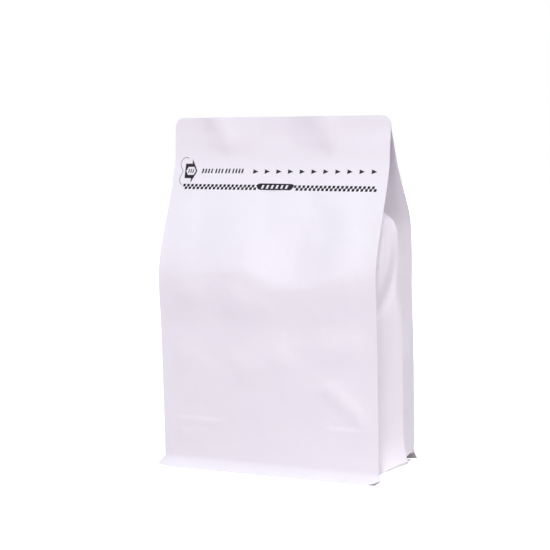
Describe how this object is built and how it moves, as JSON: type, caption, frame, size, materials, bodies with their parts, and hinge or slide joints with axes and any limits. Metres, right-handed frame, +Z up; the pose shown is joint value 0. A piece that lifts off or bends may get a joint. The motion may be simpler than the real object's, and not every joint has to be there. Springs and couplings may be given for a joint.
{
  "type": "flat-bottom coffee pouch",
  "caption": "Filled white pouch with a flat sealed top, folded-in sides, thin sealed edges and a flat bottom to stand on.",
  "frame": {"origin": "middle of the footprint, on the surface the pouch stands on", "axes": "+Z up, -Y out of the front panel, +X to the right of the front panel"},
  "size_m": [0.148, 0.0678, 0.198],
  "materials": {
    "laminate": "smooth matt white paper laminate with a faint sheen",
    "ink": "matt black print on the front header"
  },
  "bodies": {
    "root": {"pouch": "laminate"}
  },
  "joints": []
}
